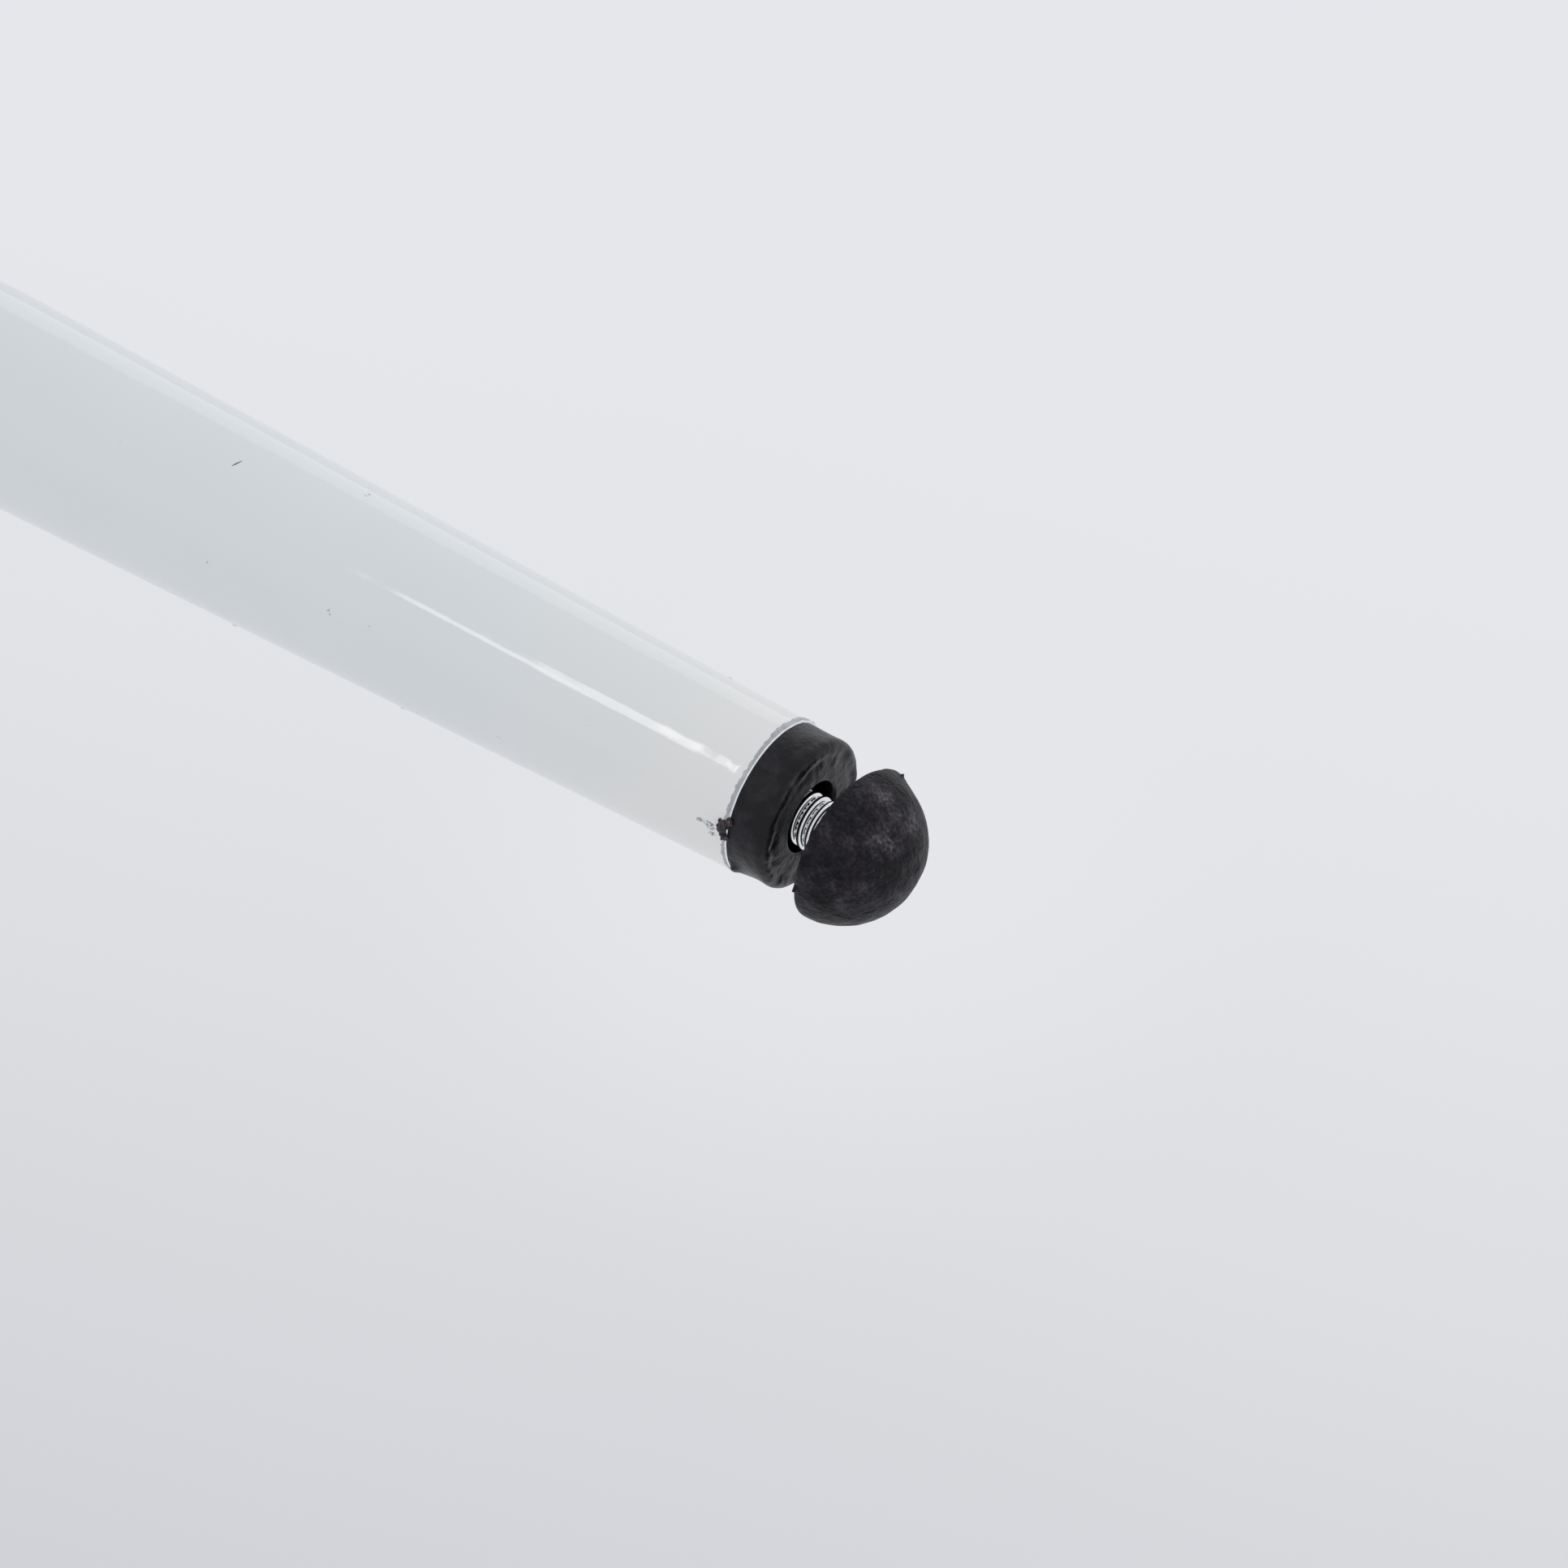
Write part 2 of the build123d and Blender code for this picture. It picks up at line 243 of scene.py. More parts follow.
def whitePowderCoat():
    # Powder coat, baked on aluminium: white, wet-looking gloss, whose faint orange peel makes lines wobble
    finish = {"IOR": 1.5, "Specular IOR Level": 0.5}
    material, tree, shader, place = startMaterial("powder coat, baked", finish)
    patches = addNode(tree, "TexNoise", {"Vector": place, "Scale": 1 / 14, "Detail": 3})  # 14 mm patches
    parts = addNode(tree, "SeparateXYZ", {"Vector": place})
    paintedTipReflection = addNode(tree, "MapRange", {"Value": parts.outputs["X"], "From Min": -26, "From Max": 0,
                                         "To Max": 0.6})  # painted reflection: a little warmer towards the tip
    shade = addNode(tree, "Math", {0: patches, 1: 0.5, 2: paintedTipReflection}, operation="MULTIPLY_ADD")
    along = addNode(tree, "VectorMath", {0: place, 1: (0.12, 1.1, 1.1)}, operation="MULTIPLY")  # drawn out
    streaks = addNode(tree, "TexNoise", {"Vector": along, "Scale": 1, "Detail": 4})
    waves = addNode(tree, "TexNoise", {"Vector": place, "Scale": 1 / 4.5, "Detail": 1})  # 4.5 mm waves
    peel = addNode(tree, "TexNoise", {"Vector": place, "Scale": 1 / 1.1, "Detail": 2})  # 1.1 mm peel
    finishSurface(tree, shader, shade, [(0.1, "#E5EAEB"), (0.35, "#E9ECEC"), (0.9, "#EFEEEB")],
                  (streaks, 0.03, 0.08), [(waves, 0.04), (peel, 0.0025)])
    return material


def bareAluminium():
    # Aluminium 6061, saw cut and deburred: a dull grey band where the coat stops, then a painted highlight
    # along the rounded edge
    material, tree, shader, place = startMaterial("aluminium 6061, saw cut", {"Metallic": 1})
    x = addNode(tree, "SeparateXYZ", {"Vector": place}).outputs["X"]
    grit = addNode(tree, "TexNoise", {"Vector": place, "Scale": 1 / 0.35, "Detail": 4})  # 0.35 mm grit
    # painted highlight: over the last 0.12 mm to the end the colour is painted brighter, where the rounded
    # edge catches light
    edge = addNode(tree, "MapRange", {"Value": x, "From Min": -0.12, "From Max": -0.07, "To Max": 0.6})
    shade = addNode(tree, "Math", {0: grit, 1: 0.5, 2: edge}, operation="MULTIPLY_ADD")
    colours = [(0.1, "#A4A6A9"), (0.35, "#BEC0C3"), (0.62, "#CCCED0"), (0.78, "#F1F2F3"), (0.95, "#FCFCFC")]
    finishSurface(tree, shader, shade, colours, (grit, 0.35, 0.55), [(grit, 0.006)])
    return material


def zincPlate():
    # Mild steel, rolled and bright zinc plated: mirror-like with a cool cast and slight cloudiness
    material, tree, shader, place = startMaterial("steel, bright zinc plated", {"Metallic": 1})
    cloud = addNode(tree, "TexNoise", {"Vector": place, "Scale": 1 / 0.8, "Detail": 3})  # 0.8 mm clouds
    pits = addNode(tree, "TexNoise", {"Vector": place, "Scale": 1 / 0.18, "Detail": 2})
    parts = addNode(tree, "SeparateXYZ", {"Vector": place})
    across = addNode(tree, "CombineXYZ", {"X": parts.outputs["Y"], "Y": parts.outputs["Z"]})
    reach = addNode(tree, "VectorMath", {0: across}, operation="LENGTH").outputs["Value"]
    # painted shade: the thread roots, up to a radius of 1.68 mm, are painted dark
    paintedRootShade = addNode(tree, "MapRange", {"Value": reach, "From Min": 1.53, "From Max": 1.68})
    shade = addNode(tree, "Math", {0: cloud, 1: 0.3, 2: paintedRootShade}, operation="MULTIPLY_ADD")
    colours = [(0.1, "#2E2F31"), (0.4, "#76787A"), (0.75, "#DADCDE"), (1.0, "#F2F3F4")]
    finishSurface(tree, shader, shade, colours, (cloud, 0.06, 0.16), [(cloud, 0.012), (pits, 0.0008)])
    return material


def mouldedRubber():
    # Hard natural rubber, compression moulded: near black and mottled, with painted highlights as lighter
    # patches on the dome
    finish = {"IOR": 1.52, "Specular IOR Level": 0.11}
    material, tree, shader, place = startMaterial("hard rubber, compression moulded", finish)
    mottle = addNode(tree, "TexNoise", {"Vector": place, "Scale": 1 / 1.9, "Detail": 7, "Roughness": 0.62})
    grain = addNode(tree, "TexNoise", {"Vector": place, "Scale": 1 / 0.24, "Detail": 4})  # 0.24 mm grain
    shade = addNode(tree, "Math", {0: grain, 1: 0.35, 2: mottle}, operation="MULTIPLY_ADD")
    # painted highlights: lighter, grainy patches where lamps would shine on the dome
    for along, reach, at, size, depth in paintedSheenPatches:
        angle = math.radians(at)
        centre = (along, reach * math.cos(angle), reach * math.sin(angle))
        away = addNode(tree, "VectorMath", {0: place, 1: centre}, operation="DISTANCE").outputs["Value"]
        sheenPatch = addNode(tree, "MapRange", {"Value": away, "From Min": size, "From Max": 0, "To Max": depth},
                       interpolation_type="SMOOTHSTEP")
        grainySheen = addNode(tree, "Math", {0: sheenPatch, 1: grain}, operation="MULTIPLY")
        shade = addNode(tree, "Math", {0: grainySheen, 1: shade}, operation="ADD")
    lumps = addNode(tree, "TexNoise", {"Vector": place, "Scale": 1 / 0.9, "Detail": 3})  # 0.9 mm lumps
    colours = [(0.42, "#08070A"), (0.58, "#121013"), (0.7, "#221F24"), (0.84, "#3A373C"), (0.96, "#5B575D")]
    finishSurface(tree, shader, shade, colours, (mottle, 0.26, 0.6), [(lumps, 0.26), (grain, 0.1)])
    return material


def mouldedNylon():
    # Nylon 6, injection moulded in black: satin, smooth on its side, scuffed and cloudy on its face
    finish = {"IOR": 1.53, "Specular IOR Level": 0.23}
    material, tree, shader, place = startMaterial("nylon 6, injection moulded", finish)
    cloud = addNode(tree, "TexNoise", {"Vector": place, "Scale": 1 / 1.5, "Detail": 6, "Roughness": 0.6})
    x = addNode(tree, "SeparateXYZ", {"Vector": place}).outputs["X"]
    onFace = addNode(tree, "MapRange", {"Value": x, "From Min": 2.5, "From Max": 2.9, "To Max": 0.16})
    scuff = addNode(tree, "TexNoise", {"Vector": place, "Scale": 1 / 0.35, "Detail": 4})  # 0.35 mm scuffs
    shade = addNode(tree, "Math", {0: scuff, 1: onFace, 2: cloud}, operation="MULTIPLY_ADD")
    flow = addNode(tree, "TexNoise", {"Vector": place, "Scale": 1 / 1.2, "Detail": 2})  # 1.2 mm flow
    # the cloudy tone is the plastic's own, and its lightest patches are also painted sheen
    colours = [(0.34, "#070609"), (0.5, "#110F14"), (0.64, "#232026"), (0.8, "#46414A")]
    finishSurface(tree, shader, shade, colours, (cloud, 0.22, 0.5), [(flow, 0.11), (scuff, 0.045)])
    return material


def texturedAbs():
    # ABS, injection moulded in a spark-eroded mould: even black satin with a fine pebble
    material, tree, shader, place = startMaterial("ABS, injection moulded", {"IOR": 1.54})
    cloud = addNode(tree, "TexNoise", {"Vector": place, "Scale": 1 / 7, "Detail": 3})  # 7 mm handling shine
    # the pebble is 0.1 mm in life, and drawn coarser to show
    pebble = addNode(tree, "TexVoronoi", {"Vector": place, "Scale": 1 / 0.45})
    finishSurface(tree, shader, cloud, [(0.3, "#1E1E20"), (0.7, "#29292C")],
                  (cloud, 0.38, 0.52), [(pebble.outputs["Distance"], 0.02)])
    return material


def knurledRubber():
    # EPDM, moulded with a fine diamond knurl: dull black, with the tops of the diamonds a little polished
    finish = {"IOR": 1.5, "Specular IOR Level": 0.35}
    material, tree, shader, place = startMaterial("EPDM rubber, knurl moulded", finish)
    x, turn = roundShaft(tree, place)
    leftCuts = helixWave(tree, x, turn, 2.4, 34)  # 2.4 mm diamonds
    rightCuts = helixWave(tree, x, turn, -2.4, 34)
    diamonds = addNode(tree, "Math", {0: leftCuts, 1: rightCuts}, operation="MINIMUM")
    tops = addNode(tree, "MapRange", {"Value": diamonds, "From Min": 0.02, "From Max": 0.16})
    wear = addNode(tree, "TexNoise", {"Vector": place, "Scale": 1 / 18, "Detail": 4})  # 18 mm of wear
    worn = addNode(tree, "Math", {0: tops, 1: wear}, operation="MULTIPLY")
    grain = addNode(tree, "TexNoise", {"Vector": place, "Scale": 1 / 0.5, "Detail": 3})  # 0.5 mm grain
    finishSurface(tree, shader, worn, [(0.0, "#151517"), (0.35, "#202022"), (0.75, "#2C2B2D")],
                  (worn, 0.78, 0.5), [(tops, 0.22), (grain, 0.03)])
    return material


def prismTape():
    # Microprismatic sheeting under a clear acrylic film: red, glossy, with pale seal lines round its cells
    finish = {"IOR": 1.49, "Coat Weight": 0.6, "Coat Roughness": 0.06, "Roughness": 0.35}
    material, tree, shader, place = startMaterial("microprismatic sheeting, laminated", finish)
    x, turn = roundShaft(tree, place)
    oneWay = helixWave(tree, x, turn, 5.0, 12)  # 5 mm cells
    otherWay = helixWave(tree, x, turn, -5.0, 12)
    cells = addNode(tree, "Math", {0: oneWay, 1: otherWay}, operation="MINIMUM")
    # the prisms are 0.15 mm in life, and drawn coarser to show
    prisms = addNode(tree, "TexVoronoi", {"Vector": place, "Scale": 1 / 0.5})
    glint = addNode(tree, "Math", {0: prisms.outputs["Color"], 1: 0.3, 2: cells}, operation="MULTIPLY_ADD")
    colours = [(0.0, "#D98F86"), (0.09, "#C3474A"), (0.2, "#A81822"), (0.8, "#C5202B")]
    finishSurface(tree, shader, glint, colours, bumps=[(cells, 0.05), (prisms.outputs["Distance"], 0.04)])
    return material


def nickelPlate():
    # Brass, spun and nickel plated: warm silver, polished, with fine rings from the spinning
    material, tree, shader, place = startMaterial("brass, nickel plated", {"Metallic": 1})
    parts = addNode(tree, "SeparateXYZ", {"Vector": place})
    flat = addNode(tree, "CombineXYZ", {"X": parts.outputs["Y"], "Y": parts.outputs["Z"]})
    reach = addNode(tree, "VectorMath", {0: flat}, operation="LENGTH").outputs["Value"]
    rings = addNode(tree, "Math", {0: reach, 1: 0.15}, operation="PINGPONG")  # rings 0.3 mm apart
    cloud = addNode(tree, "TexNoise", {"Vector": place, "Scale": 1 / 1.5, "Detail": 3})
    finishSurface(tree, shader, cloud, [(0.3, "#B4AFA5"), (0.7, "#CFCBC2")],
                  (cloud, 0.16, 0.3), [(rings, 0.03)])
    return material


def driedGlue():
    # Contact cement, squeezed out and dried: brown-black crumbs with a little shine
    material, tree, shader, place = startMaterial("contact cement, dried", {"IOR": 1.5})
    crumbs = addNode(tree, "TexNoise", {"Vector": place, "Scale": 1 / 0.3, "Detail": 4})  # 0.3 mm crumbs
    finishSurface(tree, shader, crumbs, [(0.36, "#120E11"), (0.55, "#2E252A"), (0.7, "#6B5D61")],
                  (crumbs, 0.35, 0.7), [(crumbs, 0.12)])
    return material


def greySmear():
    # Metal dust rubbed into paint: a thin grey stain that thins out at its edges
    material, tree, shader, place = startMaterial("metal dust, rubbed in", {"Roughness": 0.4, "IOR": 1.5})
    dust = addNode(tree, "TexNoise", {"Vector": place, "Scale": 1 / 0.2, "Detail": 4})  # 0.2 mm grains
    finishSurface(tree, shader, dust, [(0.36, "#6E7377"), (0.47, "#AEB3B6"), (0.57, "#DEE2E3")])
    return material


def acetal():
    # Acetal, turned: milky white with a low sheen and fine rings from the lathe
    finish = {"IOR": 1.48, "Subsurface Weight": 0.1, "Subsurface Radius": (0.6 * mm, 0.6 * mm, 0.6 * mm)}
    material, tree, shader, place = startMaterial("acetal, lathe turned", finish)
    x = addNode(tree, "SeparateXYZ", {"Vector": place}).outputs["X"]
    rings = addNode(tree, "Math", {0: x, 1: 0.2}, operation="PINGPONG")  # feed lines 0.4 mm apart
    cloud = addNode(tree, "TexNoise", {"Vector": place, "Scale": 1 / 5, "Detail": 3})
    finishSurface(tree, shader, cloud, [(0.3, "#C9C8C2"), (0.7, "#D9D8D3")],
                  (cloud, 0.3, 0.42), [(rings, 0.02)])
    return material


coat, bare, zinc = whitePowderCoat(), bareAluminium(), zincPlate()
rubber, nylon, absPlastic, gripRubber = mouldedRubber(), mouldedNylon(), texturedAbs(), knurledRubber()
tape, nickel, glue, smear, inner = prismTape(), nickelPlate(), driedGlue(), greySmear(), acetal()
print("finishes made:", len(bpy.data.materials))


nose = {"length": 66.0, "endRadius": 5.55, "wall": 0.8, "seat": 10.0, "rimRound": 0.2, "segments": 288,
        "bareRim": 0.36, "bareSpread": 0.5, "bareWaver": 0.14, "ragged": 0.03, "worked": 6.5,
        "burrAt": 50, "burrWidth": 24, "burrUp": 0.25, "burrLength": 0.45, "burrHeight": 0.2,
        "dentAt": 114, "dentWidth": 9, "dentUp": 1.8, "dentLength": 1.3, "dentDepth": 0.014}


def noseRadius(x):
    return nose["endRadius"] + (tubeRadius - nose["endRadius"]) * min(1, max(0, -x / nose["length"]))


def noseShape(x, radius, angle):
    if x < -nose["worked"]:
        return x, radius
    burr = nearAngle(angle, nose["burrAt"], nose["burrWidth"])
    burr *= math.exp(-((x + nose["burrUp"]) / nose["burrLength"]) ** 2)
    burr *= 0.6 + 0.6 * lumpy(x, radius, angle, 0.6, 3)
    ragged = nose["ragged"] * lumpy(x, radius, angle, 0.7, 9) * math.exp(x / 0.8)
    dent = nearAngle(angle, nose["dentAt"], nose["dentWidth"])
    dent *= nose["dentDepth"] * math.exp(-((x + nose["dentUp"]) / nose["dentLength"]) ** 2)
    return x, radius + nose["burrHeight"] * burr + ragged - dent


def bareOrCoated(x, radius, angle):
    # the coat stops in a wavering line, further back beside the burr
    edge = nose["bareRim"] * (1 + nose["bareSpread"] * nearAngle(angle, nose["burrAt"], 35))
    edge += nose["bareWaver"] * noise.noise(Vector((math.cos(angle), math.sin(angle), 0.3)) * 11)
    return 1 if x > -edge or radius < noseRadius(x) - 0.4 else 0


tubeTop, _, tubeRadius = spanOf("lower_tube")
tubeBore = tubeRadius - nose["wall"]
stations = [-0.06 * step for step in range(18)] + [-1.1 - 0.25 * step for step in range(25)]
stations += [-12, -20, -30, -40, -50, -58, -63, -66, -69, -80, -120, -200, -300, -400, tubeTop + 0.3]
outside = [Vector((x, noseRadius(x) - 2.2 * max(0, nose["rimRound"] + x) ** 2)) for x in stations]
seatRadius = nose["endRadius"] - nose["wall"]
inside = [Vector(corner) for corner in (
    (tubeTop, tubeRadius - 0.25), (tubeTop, tubeBore), (-nose["length"], tubeBore),
    (-nose["seat"], seatRadius), (0, seatRadius))]
lowerTube = turnPiece("lowerTube", outside + inside, nose["segments"], [coat, bare], noseShape, bareOrCoated)
settle(lowerTube, onShaft, "lower_section", "white_tube", "lower_tube")
print("lower tube made")


plug = {"flange": 3.0, "radius": 5.45, "bodyRadius": 4.75, "bodyLength": 9.0, "mouth": 2.6, "edgeRound": 0.7,
        "nutRoom": 4.1, "nutFrom": 1.0, "nutTo": 4.2, "segments": 240, "uneven": 0.05,
        "waist": 0.13, "waistAt": 222, "waistWidth": 38,
        "farWaist": 0.2, "farWaistAt": 45, "farWaistWidth": 30,
        "flare": 0.1, "flareAt": 10, "flareWidth": 40,
        "nubAt": 206, "nubWidth": 7, "nubUp": 0.25, "nubLength": 0.35, "nubHeight": 0.3,
        "faceLumps": 0.1, "faceGrain": 0.04, "sunkRing": 4.3, "ringWidth": 0.35, "ringDepth": 0.1}


def plugShape(x, radius, angle):
    if x < 0.01:
        return x, radius
    side = min(1, max(0, (radius - plug["mouth"] - 0.4) / 1.5))  # nothing moves at the hole
    share = x / plug["flange"]
    waist = nearAngle(angle, plug["waistAt"], plug["waistWidth"])
    waist += plug["farWaist"] * nearAngle(angle, plug["farWaistAt"], plug["farWaistWidth"])
    moved = -plug["waist"] * waist * math.sin(math.pi * share)
    nub = nearAngle(angle, plug["nubAt"], plug["nubWidth"])
    moved += plug["nubHeight"] * nub * math.exp(-((x - plug["nubUp"]) / plug["nubLength"]) ** 2)
    moved += plug["uneven"] * lumpy(x, radius, angle, 1.7, 5)
    moved += plug["flare"] * nearAngle(angle, plug["flareAt"], plug["flareWidth"]) * share
    face = plug["faceLumps"] * lumpy(x, radius, angle, 1.5, 21)
    face += plug["faceGrain"] * lumpy(x, radius, angle, 0.6, 2)
    # a sunk ring left by the mould
    face -= plug["ringDepth"] * math.exp(-((radius - plug["sunkRing"]) / plug["ringWidth"]) ** 2)
    return x + face * side * share ** 2, radius + moved * side


flange, radius, mouth = plug["flange"], plug["radius"], plug["mouth"]
outline = finer(rounded([
    (flange, mouth, 0.2), (flange, radius, plug["edgeRound"]), (0, radius), (0, plug["bodyRadius"]),
    (-plug["bodyLength"], plug["bodyRadius"], 0.3), (-plug["bodyLength"], mouth), (-plug["nutTo"], mouth),
    (-plug["nutTo"], plug["nutRoom"]), (-plug["nutFrom"], plug["nutRoom"]), (-plug["nutFrom"], mouth)]), 0.16)
tipPlug = turnPiece("tipPlug", outline, plug["segments"], [nylon], plugShape, sharpAngle=50)
settle(tipPlug, onShaft, "lower_section", "tip_plastic", "tip_plug")
print("tip plug made")


stud = {"top": -6.2, "crest": 1.95, "pitch": 0.7, "depth": 0.43, "domeBack": 5.95, "headFrom": 7.45,
        "headRadius": 3.6, "headThickness": 1.6, "runOut": 0.4, "segments": 120, "sharpness": 0.985}


def studThread(x, radius, angle):
    # right-hand helix with rolled, rounded crests
    threadEnd = stud["domeBack"] + stud["runOut"]
    if x > threadEnd or radius < 1:
        return x, radius
    turn = abs(2 * ((x / stud["pitch"] - angle / math.tau) % 1) - 1)
    drop = 1 - math.sqrt(1 - (stud["sharpness"] * turn) ** 2)
    return x, radius - stud["depth"] * drop * min(1, (threadEnd - x) / stud["runOut"])


shank = [Vector((stud["top"] + 0.05 * step, stud["crest"])) for step in range(251)]
headTo = stud["headFrom"] + stud["headThickness"]
head = rounded([
    (stud["headFrom"], stud["crest"]), (stud["headFrom"], stud["headRadius"], 0.15),
    (headTo, stud["headRadius"], 0.15), (headTo, 0), (stud["top"] - 0.4, 0), (stud["top"] - 0.4, 1.1)])
tipStud = turnPiece("tipStud", shank + head, stud["segments"], [zinc], studThread, sharpAngle=60)
settle(tipStud, onTip, "tip_stud", "plated_steel", "tip_stud")
print("stud made")


dome = {"radius": 5.6, "height": 5.5, "back": 5.95, "edgeRound": 0.33, "hole": 2.0, "headRoom": 3.65,
        "lumps": 0.06, "segments": 360}
# burrs and nicks on the dome's rim: angle, place along the axis, height, width in degrees, length
domeBurrs = [(179, 6.2, 0.36, 1.7, 0.16), (181, 6.6, -0.14, 14, 0.8), (33, 6.75, 0.2, 1.6, 0.12),
             (24, 6.2, 0.24, 24, 0.8)]
domeSphere = (dome["radius"] ** 2 + dome["height"] ** 2) / (2 * dome["height"])
domeCentre = dome["back"] + dome["height"] - domeSphere


def domeShape(x, radius, angle):
    reach = math.hypot(x - domeCentre, radius)
    if reach < domeSphere - 0.5 and x > dome["back"] + 0.1:
        return x, radius  # the stud's room inside
    lump = lumpy(x, radius, angle, 1.9, 40) + 0.5 * lumpy(x, radius, angle, 0.8, 8)
    lump = dome["lumps"] * (lump + 0.2 * lumpy(x, radius, angle, 0.35, 17))
    if x < dome["back"] + 0.02 and radius < dome["radius"] - 0.5:
        return x + 0.5 * lump * min(1, max(0, radius - dome["hole"] - 0.2)), radius
    for at, along, height, width, length in domeBurrs:
        lump += height * nearAngle(angle, at, width) * math.exp(-((x - along) / length) ** 2)
    return x + lump * (x - domeCentre) / reach, radius + lump * radius / reach


domeArc = []
for step in range(66):
    lift = math.radians(8 + 82 * step / 65)
    domeArc.append((domeCentre + domeSphere * math.sin(lift), domeSphere * math.cos(lift)))
headEnd = headTo + 0.05
outline = finer(rounded(
    [(dome["back"], dome["hole"], 0.1), (dome["back"], dome["radius"], dome["edgeRound"])] + domeArc
    + [(headEnd, 0), (headEnd, dome["headRoom"]), (stud["headFrom"] - 0.05, dome["headRoom"]),
       (stud["headFrom"] - 0.05, dome["hole"])]), 0.1)
domeTip = turnPiece("domeTip", outline, dome["segments"], [rubber], domeShape, sharpAngle=70)
settle(domeTip, onTip, "tip_dome", "tip_rubber", "dome_tip")
print("dome made")


# each mark: distance up from the tube's end, angle, length, width, height, turn in degrees, seed
glueLumps = [
    (0.4, 164, 0.85, 1.05, 0.45, 20, 1), (0.2, 171, 0.55, 0.65, 0.35, 70, 2),
    (0.0, 159, 0.5, 0.7, 0.3, 0, 3)]
smears = [
    (1.4, 168, 1.2, 0.6, 0.012, -12, 4), (2.1, 167, 0.8, 0.34, 0.01, 10, 5),
    (1.1, 174, 0.6, 0.35, 0.01, 5, 6), (32.8, 153, 0.3, 0.2, 0.015, 40, 9),
    (32.6, 155, 0.2, 0.12, 0.015, 0, 23), (42.6, 161, 0.26, 0.14, 0.015, 60, 10),
    (35.4, 67, 0.4, 0.14, 0.015, -40, 11), (29.5, 150, 0.16, 0.12, 0.015, 0, 12),
    (6.9, 37, 0.3, 0.2, 0.015, 0, 22)]
scuffs = [(43.95, 97.9, 1.0, 0.09, 0.015, 66, 7)]
nibs = [
    (18.4, 184, 0.36, 0.3, 0.09, 20, 13), (35.4, 70, 0.34, 0.26, 0.08, 40, 14),
    (6.9, 38, 0.3, 0.25, 0.1, 0, 15), (27.3, 218, 0.36, 0.25, 0.09, 0, 16),
    (41.3, 218, 0.34, 0.25, 0.08, 0, 17), (37.5, 160, 0.2, 0.16, 0.05, 60, 18),
    (25.5, 205, 0.2, 0.16, 0.05, 10, 19), (12.2, 140, 0.16, 0.14, 0.04, 0, 20),
    (52, 120, 0.24, 0.2, 0.05, 0, 21)]


def makeMarks(name, marks, material):
    points, faces = [], []
    rings, spokes = 7, 22
    for up, at, length, width, height, turned, seed in marks:
        first = len(points)
        dice = random.Random(seed)
        reach = [1 + 0.22 * dice.uniform(-1, 1) for _ in range(spokes)]
        for ring in range(rings + 1):
            share = ring / rings
            for spoke in range(spokes):
                angle = math.tau * spoke / spokes
                along = length / 2 * share * reach[spoke] * math.cos(angle)
                across = width / 2 * share * reach[spoke] * math.sin(angle)
                slant = math.radians(turned)
                x = -(up + along * math.cos(slant) - across * math.sin(slant))
                base = noseRadius(x)
                around = math.radians(at) + (along * math.sin(slant) + across * math.cos(slant)) / base
                lump = 0.75 + 0.5 * noise.noise(Vector((along, across, seed)) * 4 / max(length, width))
                rise = height * math.sqrt(max(0, 1 - share * share)) * lump - (0.03 if ring == rings else 0)
                points.append((x, (base + rise) * math.cos(around), (base + rise) * math.sin(around)))
        centre, under = math.radians(at), noseRadius(-up) - 0.1
        points.append((-up, under * math.cos(centre), under * math.sin(centre)))
        for spoke in range(spokes):
            after = (spoke + 1) % spokes
            for ring in range(rings):
                inner, outer = first + ring * spokes, first + (ring + 1) * spokes
                faces.append((inner + spoke, outer + spoke, outer + after, inner + after))
            faces.append((first + rings * spokes + spoke, len(points) - 1, first + rings * spokes + after))
    piece = makePiece(name, points, faces, [material], sharpAngle=60)
    piece.matrix_world = onShaft
    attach(piece, "lower_section")


makeMarks("glueLumps", glueLumps, glue)
makeMarks("greySmears", smears, smear)
makeMarks("darkScuffs", scuffs, glue)
makeMarks("paintNibs", nibs, coat)
print("marks made")


tubes = {"wall": 0.8, "endRound": 0.2, "segments": 192}


def makeTube(name, node, body):
    low, high, radius = spanOf(node)
    bore, soft = radius - tubes["wall"], tubes["endRound"]
    corners = [(high, bore, soft), (high, radius, soft), (low, radius, soft), (low, bore, soft)]
    outline = finer(rounded(corners), 25)
    settle(turnPiece(name, outline, tubes["segments"], [coat]), onShaft, body, "white_tube", node)


makeTube("middleTube", "middle_tube", "middle_section")
makeTube("upperTube", "upper_tube", "handle")


collar = {"lip": 3.0, "edge": 0.5, "wall": 1.3, "running": 0.15, "tubeStep": 1.0, "grooves": 3,
          "grooveWidth": 1.0, "grooveDepth": 0.35, "partingLine": 0.04, "segments": 240}


def collarSeam(x, radius, angle):
    seam = nearAngle(angle, 90, 1.5) + nearAngle(angle, 270, 1.5)
    return x, radius + collar["partingLine"] * seam * (radius > collarRadius - 0.2)


